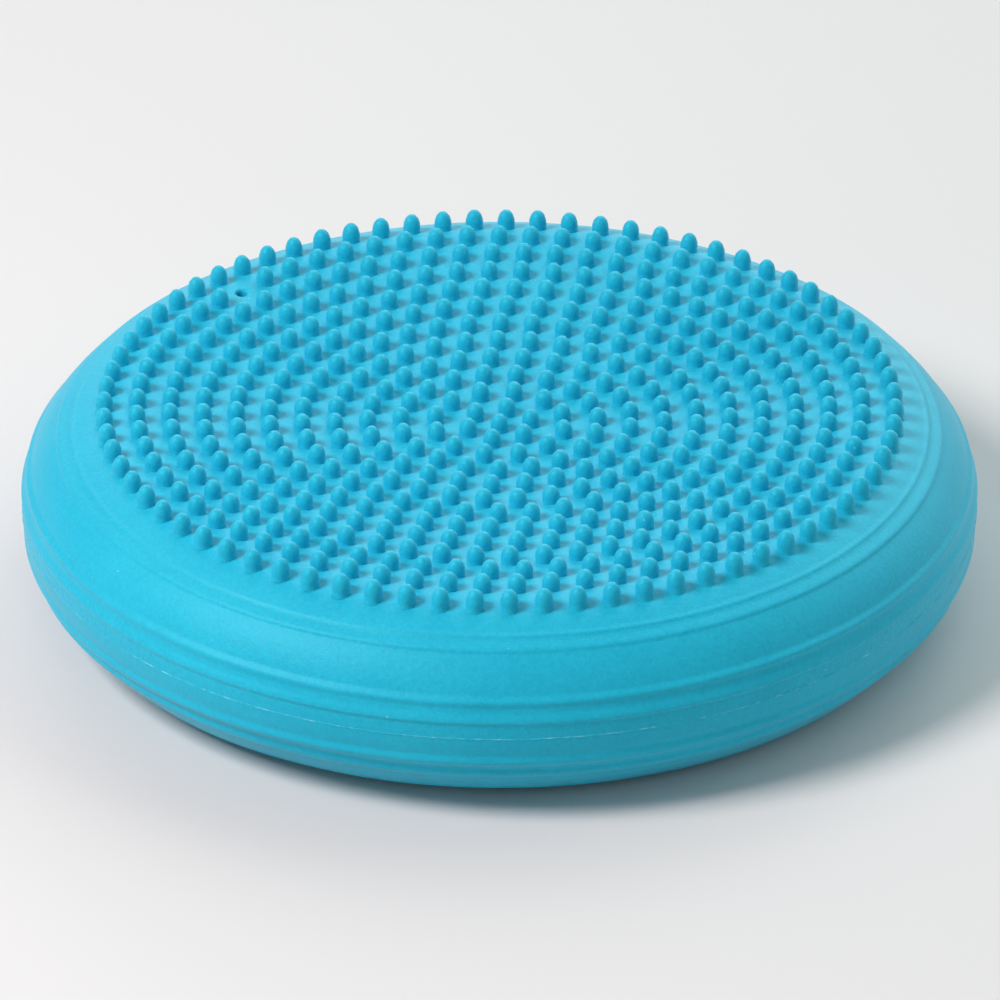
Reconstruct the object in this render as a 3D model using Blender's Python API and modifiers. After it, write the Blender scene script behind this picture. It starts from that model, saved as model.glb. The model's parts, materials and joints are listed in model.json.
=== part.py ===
"""Wobble cushion: an air-filled disc of soft moulded skin with a knobbed top.

Metres, +Z up.  The origin is on the surface that the cushion rests on, under its centre.
The skin is one hollow moulding.  It is divided along its moulded lines into four zones,
so that the zones between the foot and the top can give way when the cushion is leant on.
"""
import math

import bmesh
import bpy
from mathutils import Matrix

# Overall form
DIAMETER = 0.330            # across the parting line, the widest place
EDGE_RISE = 0.0335          # half-height of the round edge
FOOT_FLAT = 0.0005          # how far the foot ring is pressed flat where it rests
EDGE_REACH = 0.0355         # how far the round edge reaches in from the parting line
SKIN = 0.0035               # wall of the moulding

# Dished faces
TOP_DIP = 0.0084            # depth of the hollow in the top
TOP_DISH_POWER = 1.65       # below 2 gives straighter sides than a bowl
CREST_INSET = 0.0040        # from the crest in to where the dish begins
FOOT_DIP = 0.0080           # depth of the hollow underneath
FOOT_DISH_POWER = 2.0

# Where one zone of the skin ends and the next begins, as angles up the round edge
LOW_SEAM_ANGLE = math.radians(-34.5)
MID_SEAM_ANGLE = math.radians(10.0)
HIGH_SEAM_ANGLE = math.radians(56.0)
SEAM_GAP = 0.0003

# Knobs, in rings round one in the centre
KNOB_PITCH = 0.01133        # from ring to ring, and about the same along a ring
BARE_SHOULDER = 0.0285      # from the parting line in to the ground that knobs may take
KNOB_HEIGHT = 0.0062
OUTER_KNOB_HEIGHT = 0.0070  # the outer ring stands where the skin falls away
KNOB_BASE_RADIUS = 0.0037   # to the corners of a square knob
KNOB_TIP_RADIUS = 0.0015
KNOB_ROOT = 0.0012          # how far a knob goes down into the skin
KNOB_SIDE_FACES = 2000      # shared out among all the knobs

# Needle valve, which takes the place of one knob in the last ring but one
VALVE_AZIMUTH = math.radians(137.0)
NEEDLE_HOLE_RADIUS = 0.0020
BOSS_WALL = 0.0025
BOSS_LENGTH = 0.0120
INSERT_RADIUS = 0.0050
INSERT_LENGTH = 0.0140
INSERT_CHAMFER = 0.0010
CHANNEL_RADIUS = 0.0009
CHANNEL_DEPTH = 0.0090
FIT_GAP = 0.0003            # between the insert and its pocket

# Fineness
TURN_STEPS = 40
EDGE_STEPS = 4
DISH_STEPS = 5
VALVE_STEPS = 16
OVERRUN = 0.0010            # how far a cutter runs past what it cuts
MERGE = 0.00001

# Worked out from the above
EQUATOR_HEIGHT = EDGE_RISE - FOOT_FLAT      # up to the parting line
PIVOT_HEIGHT = EQUATOR_HEIGHT               # both rocking axes cross here
LOW_SEAM = EQUATOR_HEIGHT + EDGE_RISE * math.sin(LOW_SEAM_ANGLE)
MID_SEAM = EQUATOR_HEIGHT + EDGE_RISE * math.sin(MID_SEAM_ANGLE)
HIGH_SEAM = EQUATOR_HEIGHT + EDGE_RISE * math.sin(HIGH_SEAM_ANGLE)
BOSS_RADIUS = INSERT_RADIUS + FIT_GAP + BOSS_WALL
EDGE_CENTRE = DIAMETER / 2 - EDGE_REACH
TOP_DISH_RADIUS = EDGE_CENTRE - CREST_INSET
FOOT_HALF_WIDTH = EDGE_REACH * math.sqrt(1 - (EQUATOR_HEIGHT / EDGE_RISE) ** 2)
FOOT_DISH_RADIUS = EDGE_CENTRE - FOOT_HALF_WIDTH
KNOB_RINGS = int((DIAMETER / 2 - BARE_SHOULDER) / KNOB_PITCH)
VALVE_RING = KNOB_RINGS - 1
RING_COUNTS = [1] + [int(math.tau * ring + 0.4) for ring in range(1, KNOB_RINGS + 1)]
KNOB_SIDES = max(3, KNOB_SIDE_FACES // sum(RING_COUNTS))

BLUE = (0.020, 0.420, 0.610, 1.0)
DARK_RUBBER = (0.012, 0.085, 0.110, 1.0)


def clear_scene():
    for old in list(bpy.data.objects):
        bpy.data.objects.remove(old)


def new_collection(name):
    collection = bpy.data.collections.new(name)
    bpy.context.scene.collection.children.link(collection)
    return collection


def plastic(name, colour, roughness):
    """A plain Principled material."""
    material = bpy.data.materials.new(name)
    material.use_nodes = True
    shader = material.node_tree.nodes["Principled BSDF"]
    shader.inputs["Base Color"].default_value = colour
    shader.inputs["Roughness"].default_value = roughness
    shader.inputs["Metallic"].default_value = 0.0
    return material


def edge_angle(height, inset=0.0):
    """The angle on the round edge, from the parting line, at a height."""
    return math.asin((height - EQUATOR_HEIGHT) / (EDGE_RISE - inset))


def edge_point(angle, inset=0.0):
    """A point (radius, height) on the round edge, or on the inside of its wall."""
    radius = EDGE_CENTRE + (EDGE_REACH - inset) * math.cos(angle)
    height = EQUATOR_HEIGHT + (EDGE_RISE - inset) * math.sin(angle)
    return radius, height


def edge_run(start, end, inset=0.0):
    """Points along the round edge from one angle to another."""
    steps = range(EDGE_STEPS + 1)
    return [edge_point(start + (end - start) * i / EDGE_STEPS, inset) for i in steps]


def crest_angle():
    """The angle on the round edge where the top's dish begins, just inside the crest."""
    return math.acos((TOP_DISH_RADIUS - EDGE_CENTRE) / EDGE_REACH)


def top_height(radius):
    """Height of the top of the skin, without knobs."""
    if radius > TOP_DISH_RADIUS:
        across = (radius - EDGE_CENTRE) / EDGE_REACH
        return EQUATOR_HEIGHT + EDGE_RISE * math.sqrt(1 - across ** 2)
    rim = edge_point(crest_angle())[1]
    return rim - TOP_DIP * (1 - (radius / TOP_DISH_RADIUS) ** TOP_DISH_POWER)


def foot_height(radius):
    """Height of the dished underside."""
    return FOOT_DIP * (1 - (radius / FOOT_DISH_RADIUS) ** FOOT_DISH_POWER)


def dish_run(height_at, rim_radius, lift=0.0):
    """Points of a dished face from the axis out to its rim."""
    radii = [rim_radius * i / DISH_STEPS for i in range(DISH_STEPS + 1)]
    return [(radius, height_at(radius) + lift) for radius in radii]


def turned(name, outline, collection, closed, steps=TURN_STEPS):
    """A turned solid: an outline, run down its outer side, swept round the axis."""
    mesh = bpy.data.meshes.new(name)
    shape = bmesh.new()
    points = [shape.verts.new((radius, 0.0, height)) for radius, height in outline]
    for first, second in zip(points, points[1:]):
        shape.edges.new((first, second))
    if closed:
        shape.edges.new((points[-1], points[0]))
    shape.to_mesh(mesh)
    shape.free()
    piece = bpy.data.objects.new(name, mesh)
    collection.objects.link(piece)
    screw = piece.modifiers.new("turn", "SCREW")
    screw.axis = "Z"
    screw.angle = math.tau
    screw.steps = steps
    screw.render_steps = steps
    screw.use_merge_vertices = True
    screw.merge_threshold = MERGE
    return piece


def cut_or_join(piece, other, operation):
    """A Boolean with a shape that is kept as a cutter."""
    other.hide_render = True
    other.display_type = "WIRE"
    boolean = piece.modifiers.new(other.name, "BOOLEAN")
    boolean.object = other
    boolean.operation = operation
    boolean.solver = "EXACT"


def cylinder(name, radius, bottom, top, centre, collection):
    """An upright cylinder between two heights."""
    mesh = bpy.data.meshes.new(name)
    shape = bmesh.new()
    bmesh.ops.create_cone(
        shape, cap_ends=True, segments=VALVE_STEPS, radius1=radius, radius2=radius,
        depth=top - bottom,
        matrix=Matrix.Translation((centre[0], centre[1], (bottom + top) / 2)))
    shape.to_mesh(mesh)
    shape.free()
    piece = bpy.data.objects.new(name, mesh)
    collection.objects.link(piece)
    return piece


def knob_places():
    """Each knob's (x, y, ring, azimuth); the valve's place is left free.

    Every ring starts on the valve's radial line, and holds as many knobs as keep
    about one pitch between neighbours.
    """
    places = []
    for ring, count in enumerate(RING_COUNTS):
        for i in range(count):
            if ring == VALVE_RING and i == 0:
                continue
            azimuth = VALVE_AZIMUTH + math.tau * i / count
            radius = ring * KNOB_PITCH
            places.append((radius * math.cos(azimuth), radius * math.sin(azimuth), ring, azimuth))
    return places


def make_knobs(collection):
    """All the knobs in one mesh, each a tapered peg rooted in the skin."""
    mesh = bpy.data.meshes.new("knobs")
    shape = bmesh.new()
    for x, y, ring, azimuth in knob_places():
        height = OUTER_KNOB_HEIGHT if ring == KNOB_RINGS else KNOB_HEIGHT
        bottom = top_height(ring * KNOB_PITCH) - KNOB_ROOT
        depth = height + KNOB_ROOT
        place = Matrix.Translation((x, y, bottom + depth / 2)) @ Matrix.Rotation(azimuth, 4, "Z")
        bmesh.ops.create_cone(
            shape, cap_ends=True, segments=KNOB_SIDES, radius1=KNOB_BASE_RADIUS,
            radius2=KNOB_TIP_RADIUS, depth=depth, matrix=place)
    shape.to_mesh(mesh)
    shape.free()
    knobs = bpy.data.objects.new("knobs", mesh)
    collection.objects.link(knobs)
    return knobs


def make_underside(parts):
    """The dished underside, its flat foot ring, and the lower shoulder."""
    top = LOW_SEAM - SEAM_GAP / 2
    inner_foot = math.asin((SKIN - EQUATOR_HEIGHT) / (EDGE_RISE - SKIN))
    inner_wall = edge_run(inner_foot, edge_angle(top, SKIN), SKIN)
    outer_wall = edge_run(edge_angle(top), edge_angle(0.0))
    inner_dish = dish_run(foot_height, FOOT_DISH_RADIUS, SKIN)
    outer_dish = dish_run(foot_height, FOOT_DISH_RADIUS)
    outline = inner_dish + inner_wall + outer_wall + outer_dish[::-1]
    return turned("underside", outline, parts, closed=False)


def make_wall(name, bottom, top, parts):
    """A band of the side wall between two heights."""
    outer = edge_run(edge_angle(top), edge_angle(bottom))
    inner = edge_run(edge_angle(bottom, SKIN), edge_angle(top, SKIN), SKIN)
    return turned(name, outer + inner, parts, closed=True)


def make_top(parts, cutters):
    """The dished top with its shoulder, its knobs, and the sleeve for the valve."""
    bottom = HIGH_SEAM + SEAM_GAP / 2
    outer_dish = dish_run(top_height, TOP_DISH_RADIUS)
    outer_edge = edge_run(crest_angle(), edge_angle(bottom))
    inner_edge = edge_run(edge_angle(bottom, SKIN), math.pi / 2, SKIN)
    inner_dish = dish_run(top_height, TOP_DISH_RADIUS, -SKIN)
    outline = outer_dish[:-1] + outer_edge + inner_edge + inner_dish[::-1]
    top = turned("knobbed_top", outline, parts, closed=False)

    radius = VALVE_RING * KNOB_PITCH
    centre = (radius * math.cos(VALVE_AZIMUTH), radius * math.sin(VALVE_AZIMUTH))
    skin_top = top_height(radius)
    ceiling = skin_top - SKIN
    boss = cylinder("boss", BOSS_RADIUS, ceiling - BOSS_LENGTH, skin_top - SKIN / 2, centre, cutters)
    pocket = cylinder("pocket", INSERT_RADIUS + FIT_GAP, ceiling - BOSS_LENGTH - OVERRUN, ceiling,
                      centre, cutters)
    needle_hole = cylinder("needle_hole", NEEDLE_HOLE_RADIUS, ceiling - OVERRUN,
                           skin_top + OVERRUN, centre, cutters)
    cut_or_join(top, make_knobs(cutters), "UNION")
    cut_or_join(top, boss, "UNION")
    cut_or_join(top, pocket, "DIFFERENCE")
    cut_or_join(top, needle_hole, "DIFFERENCE")
    return top


def make_valve_insert(parts):
    """The rubber plug in the sleeve, with the blind channel that the needle opens."""
    radius = VALVE_RING * KNOB_PITCH
    top = top_height(radius) - SKIN - FIT_GAP
    bottom = top - INSERT_LENGTH
    outline = [
        (0.0, top - CHANNEL_DEPTH),
        (CHANNEL_RADIUS, top - CHANNEL_DEPTH),
        (CHANNEL_RADIUS, top - INSERT_CHAMFER),
        (CHANNEL_RADIUS + INSERT_CHAMFER, top),
        (INSERT_RADIUS - INSERT_CHAMFER, top),
        (INSERT_RADIUS, top - INSERT_CHAMFER),
        (INSERT_RADIUS, bottom + INSERT_CHAMFER),
        (INSERT_RADIUS - INSERT_CHAMFER, bottom),
        (0.0, bottom),
    ]
    insert = turned("valve_insert", outline, parts, closed=False, steps=VALVE_STEPS)
    insert.location = (radius * math.cos(VALVE_AZIMUTH), radius * math.sin(VALVE_AZIMUTH), 0.0)
    return insert


def hang_on(pivot_name, height, pieces, parts):
    """Parent pieces to an empty on their joint's axis, without moving them."""
    pivot = bpy.data.objects.new(pivot_name, None)
    pivot.location = (0.0, 0.0, height)
    parts.objects.link(pivot)
    for piece in pieces:
        piece.parent = pivot
        piece.location.z -= height


def finish(piece, material):
    """Give a piece its material and smooth shading."""
    piece.data.materials.append(material)
    for modifier in piece.modifiers:
        if modifier.type == "SCREW":
            modifier.use_smooth_shade = True


def main():
    clear_scene()
    parts = new_collection("wobble_cushion")
    cutters = new_collection("cutters")

    underside = make_underside(parts)
    lower_wall = make_wall("lower_wall", LOW_SEAM + SEAM_GAP / 2, MID_SEAM - SEAM_GAP / 2, parts)
    upper_wall = make_wall("upper_wall", MID_SEAM + SEAM_GAP / 2, HIGH_SEAM - SEAM_GAP / 2, parts)
    knobbed_top = make_top(parts, cutters)
    valve_insert = make_valve_insert(parts)

    for piece in (underside, lower_wall, upper_wall, knobbed_top):
        finish(piece, plastic(piece.name + "_skin", BLUE, 0.5))
    finish(valve_insert, plastic("valve_rubber", DARK_RUBBER, 0.6))

    hang_on("press_axis", 0.0, [lower_wall], parts)
    hang_on("tilt_fore_aft_axis", PIVOT_HEIGHT, [upper_wall], parts)
    hang_on("tilt_side_axis", PIVOT_HEIGHT, [knobbed_top, valve_insert], parts)


main()
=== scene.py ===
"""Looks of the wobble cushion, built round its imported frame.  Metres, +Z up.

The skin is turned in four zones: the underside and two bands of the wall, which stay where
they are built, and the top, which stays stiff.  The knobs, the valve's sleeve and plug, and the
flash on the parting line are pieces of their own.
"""

import json
import math
import random

import bpy
from mathutils import Matrix, Vector, noise


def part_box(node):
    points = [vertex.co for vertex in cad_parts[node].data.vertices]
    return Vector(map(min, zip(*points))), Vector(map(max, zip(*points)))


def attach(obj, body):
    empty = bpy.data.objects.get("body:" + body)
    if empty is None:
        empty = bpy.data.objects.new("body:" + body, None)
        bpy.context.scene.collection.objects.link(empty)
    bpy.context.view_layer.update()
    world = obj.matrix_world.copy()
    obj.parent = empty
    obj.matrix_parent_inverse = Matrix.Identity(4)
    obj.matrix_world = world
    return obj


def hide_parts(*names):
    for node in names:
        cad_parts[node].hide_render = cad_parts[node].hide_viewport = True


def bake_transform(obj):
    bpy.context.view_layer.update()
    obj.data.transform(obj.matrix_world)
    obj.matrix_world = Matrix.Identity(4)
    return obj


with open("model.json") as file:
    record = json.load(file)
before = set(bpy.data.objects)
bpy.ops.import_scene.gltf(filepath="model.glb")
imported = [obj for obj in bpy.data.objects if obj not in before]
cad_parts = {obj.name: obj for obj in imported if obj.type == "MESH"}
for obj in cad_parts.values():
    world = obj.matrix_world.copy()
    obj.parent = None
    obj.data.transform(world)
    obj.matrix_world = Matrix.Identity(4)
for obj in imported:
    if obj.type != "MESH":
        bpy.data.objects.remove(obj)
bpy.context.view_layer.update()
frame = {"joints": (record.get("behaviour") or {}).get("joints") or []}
joints = {joint["name"]: joint for joint in frame["joints"]}

# Sizes taken from the frame
HALF_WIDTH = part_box("lower_wall")[1].x
EQUATOR = joints["tilt_side"]["pos_m"][2]
SEAM_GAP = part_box("upper_wall")[0].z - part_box("lower_wall")[1].z
LOW_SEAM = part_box("underside")[1].z + SEAM_GAP / 2
MID_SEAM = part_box("lower_wall")[1].z + SEAM_GAP / 2
HIGH_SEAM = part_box("upper_wall")[1].z + SEAM_GAP / 2
VALVE_PLUG_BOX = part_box("valve_insert")
VALVE_PLACE = (VALVE_PLUG_BOX[0] + VALVE_PLUG_BOX[1]) / 2

# The round edge and the two dished faces
EDGE_RISE = 0.0335
EDGE_REACH = 0.0355
SKIN = 0.0035
TOP_DIP = 0.0084
TOP_DISH_POWER = 1.65
CREST_INSET = 0.0040
FOOT_DIP = 0.0080
FOOT_DISH_POWER = 2.0
EDGE_CENTRE = HALF_WIDTH - EDGE_REACH
TOP_DISH_RADIUS = EDGE_CENTRE - CREST_INSET
FOOT_HALF_WIDTH = EDGE_REACH * math.sqrt(1 - (EQUATOR / EDGE_RISE) ** 2)
FOOT_DISH_RADIUS = EDGE_CENTRE - FOOT_HALF_WIDTH

# Moulded ribs: crest height from the parting line, reach along the skin towards the line and away
# from it, and how proud
RIBS_ABOVE = (
    (0.0060, 0.0014, 0.0036, 0.00072),
    (0.0123, 0.0022, 0.0026, 0.00080),
    (0.0260, 0.0014, 0.0032, 0.00046),
    (0.0289, 0.0011, 0.0018, 0.00028),
)
RIBS_BELOW = (
    (0.0094, 0.0028, 0.0034, 0.00100),
    (0.0151, 0.0022, 0.0034, 0.00090),
    (0.0260, 0.0014, 0.0032, 0.00046),
)

# Knobs
KNOB_PITCH = 0.01133
KNOB_RINGS = 12
KNOB_HEIGHT = 0.0062
OUTER_KNOB_HEIGHT = 0.0070
KNOB_ROOT = 0.0006
KNOB_SIDES = 12
VALVE_RING = KNOB_RINGS - 1
VALVE_AZIMUTH = math.atan2(VALVE_PLACE.y, VALVE_PLACE.x)

# Waviness of the soft moulding: how far, and how many waves to a metre
SLOW_WAVE, SLOW_WAVE_SCALE = 0.00016, 22.0
QUICK_WAVE, QUICK_WAVE_SCALE = 0.00004, 95.0
AXIS_MARGIN = 0.001            # points this near the axis stay where they are
FOOT_MARGIN = 0.0005           # and so do points this near the ground

# Valve
SLEEVE_GAP = 0.0003            # between the plug and its sleeve
SLEEVE_WALL = 0.0025
PLUG_SHOWS = 0.0016            # how much of the plug's lower end the sleeve leaves bare
SLEEVE_INTO_SKIN = 0.0004
VALVE_STEPS = 48

# Colours
VINYL_BLUE = (0.015, 0.452, 0.635, 1.0)
VINYL_DEEP = (0.010, 0.418, 0.604, 1.0)
# Pale colour of the skin's specks; on the flash the same colour makes painted glints, a painted
# highlight
PALE_SPECK_AND_GLINT = (0.22, 0.66, 0.80, 1.0)
RUBBER_DEEP = (0.006, 0.050, 0.068, 1.0)
RUBBER_TEAL = (0.014, 0.095, 0.120, 1.0)
FLOOR_GREY = (0.66, 0.66, 0.66, 1.0)

# Light colours
WARM = (1.10, 1.0, 1.0)
COOL = (0.82, 1.0, 1.0)
WHITE = (1.0, 1.0, 1.0)

# Fineness of the turned skin
TURN_STEPS = 360
FINE_STEP = 0.00036            # along the ribbed edge
INNER_STEP = 0.0030            # along the unseen inside
DISH_STEP = 0.0016             # along a dished face
WELD = 0.000002
CREASE_ANGLE = 35              # degrees; sharper corners than this keep their edge
ROUND_ANGLE = 80               # the same, on the flash and the knobs

# Flash on the parting line
FLASH_STEPS = 1600
FLASH_CORNERS = 6
FLASH_SIZE = 0.00024
FLASH_SINK = 0.00006           # how far its middle lies inside the skin's widest circle
FLASH_WANDER = 0.00012         # how far it strays up and down
FLASH_LEAST, FLASH_USUAL, FLASH_MOST = 0.25, 0.75, 1.7    # shares of its size

# Scatter of the knobs, as standard deviations
KNOB_LEAN = 0.012
KNOB_SIZE_SCATTER = 0.012


# ---------------------------------------------------------------- the skin's outline

def edge_point(angle, proud=0.0):
    """A point (radius, height) on the round edge, moved out along its normal."""
    across, up = math.cos(angle), math.sin(angle)
    out = Vector((across / EDGE_REACH, up / EDGE_RISE)).normalized()
    radius = EDGE_CENTRE + EDGE_REACH * across + proud * out.x
    height = EQUATOR + EDGE_RISE * up + proud * out.y
    return radius, height


def edge_angle(height, inset=0.0):
    """The angle on the round edge at which it reaches a height."""
    return math.asin((height - EQUATOR) / (EDGE_RISE - inset))


def rib_height(height):
    """How proud of the plain edge the ribs stand at a height."""
    from_line = abs(height - EQUATOR)
    proud = 0.0
    for crest, towards, away, rise in RIBS_ABOVE if height > EQUATOR else RIBS_BELOW:
        steepness = math.sqrt(1 - (crest / EDGE_RISE) ** 2)
        reach = (towards if from_line < crest else away) * steepness
        along = (from_line - crest) / reach
        if abs(along) < 1:
            proud = max(proud, rise * (0.5 + 0.5 * math.cos(math.pi * along)))
    return proud


def outer_edge(start, end):
    """The ribbed round edge from one angle to another, in fine steps."""
    count = max(2, round(abs(end - start) * EDGE_RISE / FINE_STEP))
    points = []
    for i in range(count + 1):
        angle = start + (end - start) * i / count
        height = EQUATOR + EDGE_RISE * math.sin(angle)
        points.append(edge_point(angle, rib_height(height)))
    return points


def inner_edge(start, end):
    """The inside of the wall from one angle to another."""
    count = max(2, round(abs(end - start) * EDGE_RISE / INNER_STEP))
    points = []
    for i in range(count + 1):
        angle = start + (end - start) * i / count
        points.append((EDGE_CENTRE + (EDGE_REACH - SKIN) * math.cos(angle),
                       EQUATOR + (EDGE_RISE - SKIN) * math.sin(angle)))
    return points


def crest_angle():
    """The angle on the round edge where the top's dish begins."""
    return math.acos(-CREST_INSET / EDGE_REACH)


def top_height(radius):
    """Height of the top of the skin between the knobs."""
    if radius > TOP_DISH_RADIUS:
        return EQUATOR + EDGE_RISE * math.sqrt(1 - ((radius - EDGE_CENTRE) / EDGE_REACH) ** 2)
    rim = edge_point(crest_angle())[1]
    return rim - TOP_DIP * (1 - (radius / TOP_DISH_RADIUS) ** TOP_DISH_POWER)


def foot_height(radius):
    """Height of the hollow underneath."""
    return FOOT_DIP * (1 - (radius / FOOT_DISH_RADIUS) ** FOOT_DISH_POWER)


def dish(height_at, rim, step, lift=0.0):
    """A dished face from the axis out to its rim."""
    count = round(rim / step)
    return [(rim * i / count, height_at(rim * i / count) + lift) for i in range(count + 1)]


# ---------------------------------------------------------------- modelling by hand

def deselect():
    """Leave edit mode and select nothing."""
    if bpy.context.object and bpy.context.object.mode == "EDIT":
        bpy.ops.object.mode_set(mode="OBJECT")
    bpy.ops.object.select_all(action="DESELECT")


def take(piece):
    """Make one piece the only one selected."""
    deselect()
    piece.select_set(True)
    bpy.context.view_layer.objects.active = piece


def start_outline(name, first):
    """A primitive gathered into one point, ready to be extruded along an outline."""
    deselect()
    bpy.ops.mesh.primitive_plane_add(size=0.001, location=(0, 0, 0))
    piece = bpy.context.object
    piece.name = name
    piece.data.name = name
    bpy.ops.object.mode_set(mode="EDIT")
    bpy.ops.mesh.select_all(action="SELECT")
    bpy.ops.mesh.merge(type="CENTER")
    bpy.ops.transform.translate(value=(first[0], 0, first[1]))
    return piece


def draw_outline(points):
    """Extrude the selected point along an outline."""
    for here, there in zip(points, points[1:]):
        step = (there[0] - here[0], 0, there[1] - here[1])
        bpy.ops.mesh.extrude_region_move(TRANSFORM_OT_translate={"value": step})


def turn(name, outline, steps=TURN_STEPS, smooth_angle=CREASE_ANGLE):
    """Draw an outline and spin it round the axis into a closed solid."""
    piece = start_outline(name, outline[0])
    draw_outline(outline)
    bpy.ops.mesh.select_all(action="SELECT")
    bpy.ops.mesh.spin(steps=steps, angle=math.tau, center=(0, 0, 0), axis=(0, 0, 1))
    bpy.ops.mesh.select_all(action="SELECT")
    bpy.ops.mesh.remove_doubles(threshold=WELD)
    bpy.ops.mesh.normals_make_consistent(inside=False)
    bpy.ops.object.mode_set(mode="OBJECT")
    bpy.ops.object.shade_smooth_by_angle(angle=math.radians(smooth_angle))
    return piece


def unevenness(point):
    """The slight waviness of a soft inflated moulding, as a distance."""
    slow = noise.noise(point * SLOW_WAVE_SCALE)
    quick = noise.noise(point * QUICK_WAVE_SCALE + Vector((3.1, 7.7, 1.3)))
    return SLOW_WAVE * slow + QUICK_WAVE * quick


def make_uneven(piece):
    """Move each point of the skin in or out by the moulding's waviness."""
    for vertex in piece.data.vertices:
        point = vertex.co
        radius = math.hypot(point.x, point.y)
        if radius < AXIS_MARGIN or point.z < FOOT_MARGIN:
            continue
        if radius > TOP_DISH_RADIUS:
            out = Vector(((radius - EDGE_CENTRE) / EDGE_REACH, (point.z - EQUATOR) / EDGE_RISE))
            out.normalize()
        else:
            out = Vector((0, 1 if point.z > EQUATOR else -1))
        around = Vector((point.x / radius, point.y / radius, 0))
        push = unevenness(point)
        vertex.co = point + push * (around * out.x + Vector((0, 0, out.y)))


# ---------------------------------------------------------------- pieces of the skin

def make_foot_skin():
    """Dished underside, flat foot ring and lower shoulder."""
    inner_foot = math.asin((SKIN - EQUATOR) / (EDGE_RISE - SKIN))
    outline = (
        dish(foot_height, FOOT_DISH_RADIUS, INNER_STEP, SKIN)
        + inner_edge(inner_foot, edge_angle(LOW_SEAM, SKIN))
        + outer_edge(edge_angle(LOW_SEAM), edge_angle(0.0))
        + dish(foot_height, FOOT_DISH_RADIUS, DISH_STEP)[::-1]
    )
    return turn("foot_skin", outline)


def make_wall_skin(name, bottom, top):
    """A band of the side wall between two seams."""
    outer = outer_edge(edge_angle(top), edge_angle(bottom))
    inner = inner_edge(edge_angle(bottom, SKIN), edge_angle(top, SKIN))
    return turn(name, outer + inner + outer[:1])


def make_top_skin():
    """Dished top and shoulder, before the valve's mouth is cut."""
    outline = (
        dish(top_height, TOP_DISH_RADIUS, DISH_STEP)[:-1]
        + outer_edge(crest_angle(), edge_angle(HIGH_SEAM))
        + inner_edge(edge_angle(HIGH_SEAM, SKIN), math.pi / 2)
        + dish(top_height, TOP_DISH_RADIUS, INNER_STEP, -SKIN)[::-1]
    )
    return turn("top_skin", outline)


def cut(piece, cutter):
    """Take one shape out of another, and throw the cutter away."""
    take(piece)
    boolean = piece.modifiers.new("cut", "BOOLEAN")
    boolean.object = cutter
    boolean.operation = "DIFFERENCE"
    boolean.solver = "EXACT"
    bpy.ops.object.modifier_apply(modifier="cut")
    bpy.data.objects.remove(cutter)
    bpy.ops.object.shade_smooth_by_angle(angle=math.radians(CREASE_ANGLE))


# ---------------------------------------------------------------- valve

def set_in_top(piece):
    """Carry a small turned piece from the origin to the valve, square to the skin there."""
    radius = math.hypot(VALVE_PLACE.x, VALVE_PLACE.y)
    reach = 0.001
    slope = (top_height(radius + reach) - top_height(radius - reach)) / (2 * reach)
    place = Matrix.Translation((VALVE_PLACE.x, VALVE_PLACE.y, top_height(radius)))
    turned = Matrix.Rotation(VALVE_AZIMUTH, 4, "Z") @ Matrix.Rotation(-math.atan(slope), 4, "Y")
    piece.data.transform(place @ turned)
    return piece


def open_valve_mouth(skin):
    """A round hole with a soft, rolled-in lip."""
    outline = [
        (0.0, 0.0012), (0.0034, 0.0012), (0.0029, 0.00020), (0.0026, 0.00002),
        (0.00235, -0.00010), (0.00215, -0.00030), (0.00202, -0.00062), (0.00196, -0.0012),
        (0.00192, -0.0046), (0.0, -0.0046),
    ]
    cut(skin, set_in_top(turn("mouth_cutter", outline, steps=VALVE_STEPS)))


def make_valve_sleeve():
    """The sleeve moulded under the skin, which holds the plug."""
    radius = math.hypot(VALVE_PLACE.x, VALVE_PLACE.y)
    plug_radius = (VALVE_PLUG_BOX[1].x - VALVE_PLUG_BOX[0].x) / 2
    inside = plug_radius + SLEEVE_GAP
    outside = inside + SLEEVE_WALL
    top = top_height(radius) - SKIN + SLEEVE_INTO_SKIN
    bottom = VALVE_PLUG_BOX[0].z + PLUG_SHOWS
    outline = [(inside, bottom + 0.0004), (inside + 0.0004, bottom), (outside - 0.0006, bottom),
               (outside, bottom + 0.0006), (outside, top - 0.0012), (outside + 0.0010, top),
               (inside, top), (inside, bottom + 0.0004)]
    sleeve = turn("valve_sleeve", outline, steps=VALVE_STEPS)
    sleeve.data.transform(Matrix.Translation((VALVE_PLACE.x, VALVE_PLACE.y, 0)))
    return sleeve


def make_valve_plug():
    """A soft rubber plug with a guide cone and a blind channel for the needle."""
    plug_radius = (VALVE_PLUG_BOX[1].x - VALVE_PLUG_BOX[0].x) / 2
    top, bottom = VALVE_PLUG_BOX[1].z, VALVE_PLUG_BOX[0].z
    outline = [
        (0.0, top - 0.0090), (0.0008, top - 0.0088), (0.0009, top - 0.0018), (0.0012, top - 0.0009),
        (0.0019, top - 0.0002), (0.0024, top), (plug_radius - 0.0010, top),
        (plug_radius - 0.0003, top - 0.0003), (plug_radius, top - 0.0010),
        (plug_radius, top - 0.0052), (plug_radius - 0.0004, top - 0.0056),
        (plug_radius - 0.0004, top - 0.0066), (plug_radius, top - 0.0070),
        (plug_radius, bottom + 0.0010), (plug_radius - 0.0003, bottom + 0.0003),
        (plug_radius - 0.0010, bottom), (0.0, bottom),
    ]
    plug = turn("valve_plug", outline, steps=VALVE_STEPS)
    plug.data.transform(Matrix.Translation((VALVE_PLACE.x, VALVE_PLACE.y, 0)))
    return plug


# ---------------------------------------------------------------- flash on the parting line

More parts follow.
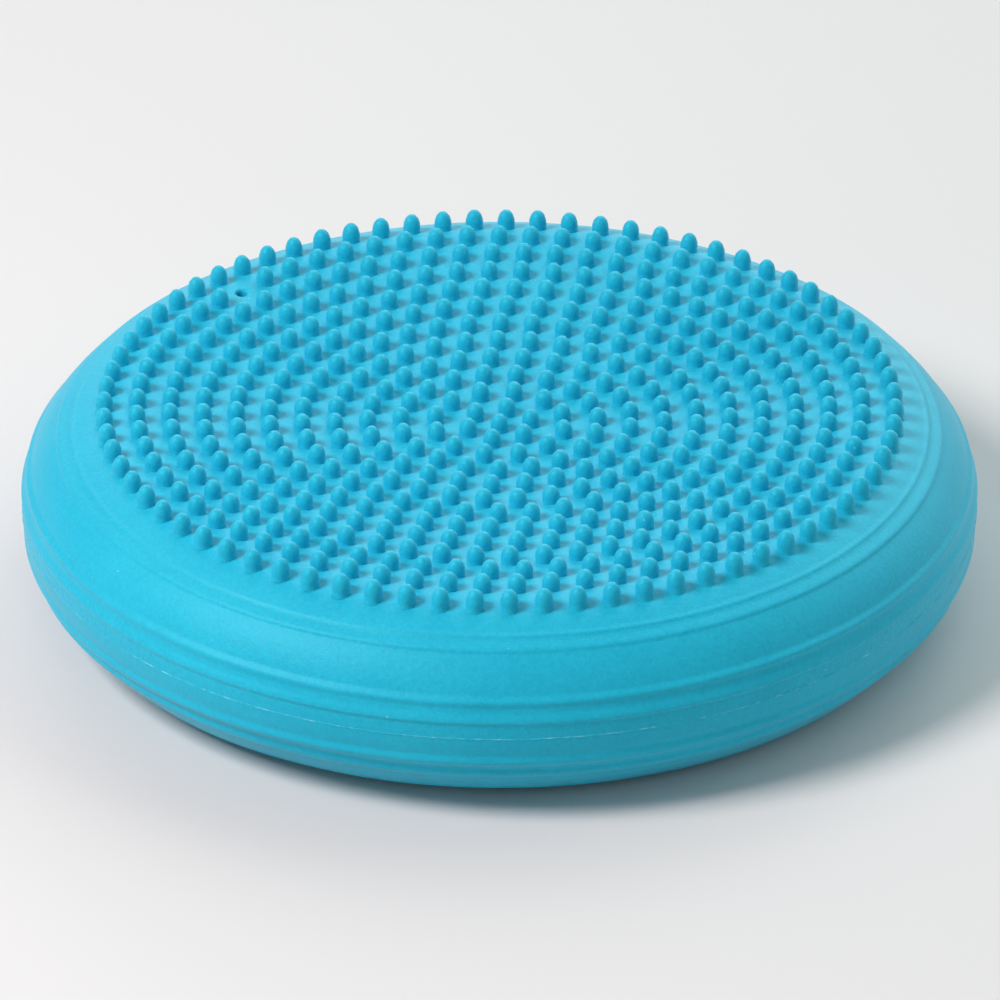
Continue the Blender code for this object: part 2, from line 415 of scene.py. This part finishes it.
def make_parting_flash():
    """The thin, slightly ragged fin where the two halves of the mould met."""
    outline = []
    for corner in range(FLASH_CORNERS + 1):
        angle = math.tau * (corner % FLASH_CORNERS) / FLASH_CORNERS
        outline.append((HALF_WIDTH + FLASH_SIZE * math.cos(angle),
                        EQUATOR + FLASH_SIZE * math.sin(angle)))
    flash = turn("parting_flash", outline, steps=FLASH_STEPS, smooth_angle=ROUND_ANGLE)
    for vertex in flash.data.vertices:
        point = vertex.co.copy()
        around = Vector((point.x, point.y, 0)).normalized()
        ragged = noise.noise(around * 60.0) + 0.7 * noise.noise(around * 190.0)
        nick = max(0.0, noise.noise(around * 33.0 + Vector((5, 2, 9))) - 0.42) * 2.2
        fullness = min(max(FLASH_LEAST, FLASH_USUAL + 0.8 * ragged) + nick, FLASH_MOST)
        out = math.hypot(point.x, point.y) - HALF_WIDTH
        wander = FLASH_WANDER * noise.noise(around * 14.0)
        vertex.co = around * (HALF_WIDTH - FLASH_SINK + out * fullness)
        vertex.co.z = EQUATOR + wander + (point.z - EQUATOR) * (0.7 + 0.5 * fullness)
    return flash


# ---------------------------------------------------------------- knobs

def model_knob(name, height):
    """One knob: a slight waist where it leaves the skin, then an egg-shaped dome."""
    # Radius and height of each ring of corners
    stages = (
        (0.00345, -KNOB_ROOT),
        (0.00300, 0.0005),
        (0.00316, 0.28 * height),
        (0.00302, 0.50 * height),
        (0.00246, 0.75 * height),
        (0.00142, 0.93 * height),
    )
    deselect()
    bpy.ops.mesh.primitive_circle_add(vertices=KNOB_SIDES, radius=stages[0][0],
                                      fill_type="NGON", location=(0, 0, 0))
    knob = bpy.context.object
    knob.name = name
    bpy.ops.object.mode_set(mode="EDIT")
    bpy.ops.mesh.select_all(action="SELECT")
    bpy.ops.transform.translate(value=(0, 0, stages[0][1]))
    for (radius, level), (next_radius, next_level) in zip(stages, stages[1:]):
        bpy.ops.mesh.extrude_region_move(
            TRANSFORM_OT_translate={"value": (0, 0, next_level - level)})
        ratio = next_radius / radius
        bpy.ops.transform.resize(value=(ratio, ratio, 1))
    bpy.ops.mesh.extrude_region_move(
        TRANSFORM_OT_translate={"value": (0, 0, height - stages[-1][1])})
    bpy.ops.mesh.merge(type="CENTER")
    bpy.ops.mesh.select_all(action="SELECT")
    bpy.ops.mesh.normals_make_consistent(inside=False)
    bpy.ops.object.mode_set(mode="OBJECT")
    bpy.ops.object.shade_smooth_by_angle(angle=math.radians(ROUND_ANGLE))
    return knob


def make_knobs():
    """All the knobs, ring by ring; every ring starts on the line from the middle to the valve."""
    chance = random.Random(7)
    inner, outer = model_knob("knob", KNOB_HEIGHT), model_knob("outer_knob", OUTER_KNOB_HEIGHT)
    copies = []
    for ring in range(KNOB_RINGS + 1):
        count = int(math.tau * ring + 0.4) if ring else 1
        master = outer if ring == KNOB_RINGS else inner
        radius = ring * KNOB_PITCH
        for i in range(count):
            if ring == VALVE_RING and i == 0:
                continue
            azimuth = VALVE_AZIMUTH + math.tau * i / count
            lean = Matrix.Rotation(chance.gauss(0, KNOB_LEAN), 4, "X")
            lean = lean @ Matrix.Rotation(chance.gauss(0, KNOB_LEAN), 4, "Y")
            size = Matrix.Scale(1 + chance.gauss(0, KNOB_SIZE_SCATTER), 4)
            place = Matrix.Translation((radius * math.cos(azimuth), radius * math.sin(azimuth),
                                        top_height(radius)))
            mesh = master.data.copy()
            mesh.transform(place @ lean @ size @ Matrix.Rotation(azimuth, 4, "Z"))
            copy = bpy.data.objects.new("knob_copy", mesh)
            bpy.context.scene.collection.objects.link(copy)
            copies.append(copy)
    bpy.data.objects.remove(inner)
    bpy.data.objects.remove(outer)
    deselect()
    for copy in copies:
        copy.select_set(True)
    bpy.context.view_layer.objects.active = copies[0]
    bpy.ops.object.join()
    knobs = bpy.context.object
    knobs.name = "knobs"
    return knobs


# ---------------------------------------------------------------- materials

def new_material(name):
    """A material with its node tree and its main shader."""
    material = bpy.data.materials.new(name)
    material.use_nodes = True
    tree = material.node_tree
    return material, tree, tree.nodes["Principled BSDF"]


def add_node(tree, kind, **values):
    """Add a node, and set its inputs or its own settings by name."""
    node = tree.nodes.new(kind)
    for key, value in values.items():
        if key in node.inputs:
            node.inputs[key].default_value = value
        else:
            setattr(node, key, value)
    return node


def ramp(tree, factor, low, low_colour, high, high_colour):
    """A two-stop colour ramp driven by a factor."""
    node = add_node(tree, "ShaderNodeValToRGB")
    first, last = node.color_ramp.elements
    first.position, first.color = low, low_colour
    last.position, last.color = high, high_colour
    tree.links.new(factor, node.inputs["Fac"])
    return node.outputs["Color"]


def span(tree, value, low, high, start, end, soft=False):
    """Map a value from one range to another, and hold it there."""
    kind = "SMOOTHSTEP" if soft else "LINEAR"
    node = add_node(tree, "ShaderNodeMapRange", interpolation_type=kind)
    limits = {"From Min": low, "From Max": high, "To Min": start, "To Max": end}
    for socket, number in limits.items():
        node.inputs[socket].default_value = number
    tree.links.new(value, node.inputs["Value"])
    return node.outputs["Result"]


def combine(tree, operation, first, second):
    """One number from two, either of which may be a plain number."""
    node = add_node(tree, "ShaderNodeMath", operation=operation)
    for socket, value in zip(node.inputs, (first, second)):
        if isinstance(value, (int, float)):
            socket.default_value = value
        else:
            tree.links.new(value, socket)
    return node.outputs["Value"]


def moulded_vinyl():
    """Soft vinyl: slow clouding, a pebble and a finer grain, and a few pale specks."""
    material, tree, shader = new_material("moulded_vinyl")
    link = tree.links.new
    place = add_node(tree, "ShaderNodeTexCoord").outputs["Object"]

    clouds = add_node(tree, "ShaderNodeTexNoise", Scale=26.0, Detail=3.0, Roughness=0.55)
    pebble = add_node(tree, "ShaderNodeTexNoise", Scale=560.0, Detail=2.0, Roughness=0.55)
    grain = add_node(tree, "ShaderNodeTexNoise", Scale=1400.0, Detail=3.0, Roughness=0.6)
    dots = add_node(tree, "ShaderNodeTexVoronoi", Scale=330.0)
    for texture in (clouds, grain, pebble, dots):
        link(place, texture.inputs["Vector"])

    tint = ramp(tree, clouds.outputs["Fac"], 0.30, VINYL_DEEP, 0.72, VINYL_BLUE)
    fine_mottle = span(tree, grain.outputs["Fac"], 0.3, 0.7, 0.92, 1.07)
    slow_mottle = span(tree, pebble.outputs["Fac"], 0.3, 0.7, 0.95, 1.05)
    shaded = add_node(tree, "ShaderNodeVectorMath", operation="SCALE")
    link(tint, shaded.inputs[0])
    link(combine(tree, "MULTIPLY", fine_mottle, slow_mottle), shaded.inputs["Scale"])

    near_dot = span(tree, dots.outputs["Distance"], 0.12, 0.06, 0.0, 1.0, soft=True)
    rare_dot = combine(tree, "GREATER_THAN", dots.outputs["Color"], 0.90)
    mix = add_node(tree, "ShaderNodeMix", data_type="RGBA")
    colours_in = [socket for socket in mix.inputs if socket.type == "RGBA"]
    colour_out = [socket for socket in mix.outputs if socket.type == "RGBA"][0]
    link(combine(tree, "MULTIPLY", near_dot, rare_dot), mix.inputs["Factor"])
    link(shaded.outputs["Vector"], colours_in[0])
    colours_in[1].default_value = PALE_SPECK_AND_GLINT
    link(colour_out, shader.inputs["Base Color"])

    link(span(tree, pebble.outputs["Fac"], 0.0, 1.0, 0.44, 0.56), shader.inputs["Roughness"])

    # The rim is pebbled more strongly between the parting line and the first rib above it
    split = add_node(tree, "ShaderNodeSeparateXYZ")
    link(place, split.inputs["Vector"])
    above_line = combine(tree, "SUBTRACT", split.outputs["Z"], EQUATOR)
    into_band = span(tree, above_line, 0.0002, 0.0012, 0.0, 1.0, soft=True)
    out_of_band = span(tree, above_line, 0.0050, 0.0064, 1.0, 0.0, soft=True)
    band = combine(tree, "MULTIPLY", into_band, out_of_band)
    coarse = add_node(tree, "ShaderNodeBump", Distance=0.0004)
    link(pebble.outputs["Fac"], coarse.inputs["Height"])
    link(span(tree, band, 0.0, 1.0, 0.34, 0.75), coarse.inputs["Strength"])
    fine = add_node(tree, "ShaderNodeBump", Strength=0.45, Distance=0.00014)
    link(grain.outputs["Fac"], fine.inputs["Height"])
    link(coarse.outputs["Normal"], fine.inputs["Normal"])
    link(fine.outputs["Normal"], shader.inputs["Normal"])

    shader.inputs["Specular IOR Level"].default_value = 0.42
    shader.inputs["Specular Tint"].default_value = (0.35, 0.95, 1.0, 1.0)
    shader.inputs["Sheen Weight"].default_value = 0.12
    shader.inputs["Sheen Roughness"].default_value = 0.4
    shader.inputs["Subsurface Weight"].default_value = 0.10
    shader.inputs["Subsurface Radius"].default_value = (0.2, 0.6, 1.0)
    shader.inputs["Subsurface Scale"].default_value = 0.0020
    return material


def pale_edge():
    """The flash on the parting line: skin colour with pale flecks painted on as glints, a painted
    highlight.
    """
    material, tree, shader = new_material("flash_painted_glints")
    place = add_node(tree, "ShaderNodeTexCoord").outputs["Object"]
    flecks = add_node(tree, "ShaderNodeTexNoise", Scale=260.0, Detail=3.0, Roughness=0.7)
    tree.links.new(place, flecks.inputs["Vector"])
    # Pale flecks along the flash are painted glints: a painted highlight
    colour = ramp(tree, flecks.outputs["Fac"], 0.46, VINYL_BLUE, 0.74, PALE_SPECK_AND_GLINT)
    tree.links.new(colour, shader.inputs["Base Color"])
    shader.inputs["Roughness"].default_value = 0.6
    shader.inputs["Specular IOR Level"].default_value = 0.2
    return material


def valve_rubber():
    """Dark teal rubber, a little dusty."""
    material, tree, shader = new_material("valve_rubber")
    link = tree.links.new
    place = add_node(tree, "ShaderNodeTexCoord").outputs["Object"]
    dust = add_node(tree, "ShaderNodeTexNoise", Scale=900.0, Detail=3.0, Roughness=0.6)
    link(place, dust.inputs["Vector"])
    tint = ramp(tree, dust.outputs["Fac"], 0.35, RUBBER_DEEP, 0.75, RUBBER_TEAL)
    link(tint, shader.inputs["Base Color"])
    bump = add_node(tree, "ShaderNodeBump", Strength=0.3, Distance=0.0001)
    link(dust.outputs["Fac"], bump.inputs["Height"])
    link(bump.outputs["Normal"], shader.inputs["Normal"])
    shader.inputs["Roughness"].default_value = 0.55
    return material


# ---------------------------------------------------------------- room

def make_floor():
    """A plain pale floor, level with the foot ring."""
    deselect()
    bpy.ops.mesh.primitive_plane_add(size=12.0, location=(0, 0, 0))
    floor = bpy.context.object
    floor.name = "studio_floor"
    material, tree, shader = new_material("studio_floor")
    shader.inputs["Base Color"].default_value = FLOOR_GREY
    shader.inputs["Roughness"].default_value = 0.9
    floor.data.materials.append(material)


def add_light(name, place, target, size, power, colour):
    """A round, soft light that faces a target."""
    light = bpy.data.lights.new(name, "AREA")
    light.shape = "DISK"
    light.size = size
    light.energy = power
    light.color = colour
    lamp = bpy.data.objects.new(name, light)
    lamp.location = place
    lamp.rotation_euler = (Vector(target) - Vector(place)).to_track_quat("-Z", "Y").to_euler()
    bpy.context.scene.collection.objects.link(lamp)


def above(azimuth, elevation, distance):
    """A place seen from the cushion at an azimuth and elevation in degrees."""
    around, up = math.radians(azimuth), math.radians(elevation)
    return (distance * math.cos(up) * math.cos(around), distance * math.cos(up) * math.sin(around),
            EQUATOR + distance * math.sin(up))


def make_room():
    """Dim even surroundings, a key from the left, broad lights behind, and weak ones in front."""
    world = bpy.data.worlds.new("studio")
    world.use_nodes = True
    background = world.node_tree.nodes["Background"]
    background.inputs["Color"].default_value = (1.0, 1.0, 1.0, 1.0)
    background.inputs["Strength"].default_value = 0.18
    bpy.context.scene.world = world
    middle = (0, 0, EQUATOR)
    add_light("key", above(204, 47, 2.0), middle, 0.80, 36.0, WARM)
    add_light("back_right", above(45, 35, 3.0), middle, 3.20, 38.0, COOL)
    add_light("back", above(90, 32, 3.0), middle, 3.20, 38.0, WHITE)
    add_light("right", above(0, 25, 3.0), middle, 2.00, 13.0, COOL)
    add_light("front", above(-90, 30, 3.0), middle, 2.00, 8.0, COOL)


def make_camera():
    """A long lens, a little under thirty degrees above the surface."""
    elevation = math.radians(28.74)
    droop = math.radians(0.703)
    distance = 2.720
    knob_level = EQUATOR + EDGE_RISE + 0.002
    data = bpy.data.cameras.new("camera")
    data.lens = 284.7
    data.sensor_width = 36.0
    data.clip_end = 30.0
    camera = bpy.data.objects.new("camera", data)
    camera.location = (0.00017, -distance * math.cos(elevation),
                       knob_level + distance * math.sin(elevation))
    camera.rotation_euler = (math.pi / 2 - elevation - droop, 0, 0)
    bpy.context.scene.collection.objects.link(camera)
    bpy.context.scene.camera = camera


# ---------------------------------------------------------------- putting it together

vinyl = moulded_vinyl()
rubber = valve_rubber()
foot_skin = make_foot_skin()
lower_skin = make_wall_skin("lower_wall_skin", LOW_SEAM, MID_SEAM)
upper_skin = make_wall_skin("upper_wall_skin", MID_SEAM, HIGH_SEAM)
top_skin = make_top_skin()
for piece in (foot_skin, lower_skin, upper_skin, top_skin):
    make_uneven(piece)
open_valve_mouth(top_skin)
knobs = make_knobs()
parting_flash = make_parting_flash()
# The flash's material, with painted glints
glint_painted_edge = pale_edge()
valve_sleeve = make_valve_sleeve()
valve_plug = make_valve_plug()
for piece in (foot_skin, lower_skin, upper_skin, top_skin, knobs, parting_flash, valve_sleeve):
    piece.data.materials.clear()
    piece.data.materials.append(glint_painted_edge if piece == parting_flash else vinyl)

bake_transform(foot_skin)
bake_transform(lower_skin)
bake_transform(upper_skin)
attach(top_skin, "top")
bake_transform(parting_flash)
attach(knobs, "top")
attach(valve_sleeve, "top")
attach(valve_plug, "top")
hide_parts("underside")
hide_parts("lower_wall")
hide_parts("upper_wall")
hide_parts("knobbed_top")
valve_plug.data.materials.clear()
valve_plug.data.materials.append(rubber)
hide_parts("valve_insert")

make_floor()
make_room()
make_camera()
bpy.context.scene.view_settings.view_transform = "Standard"
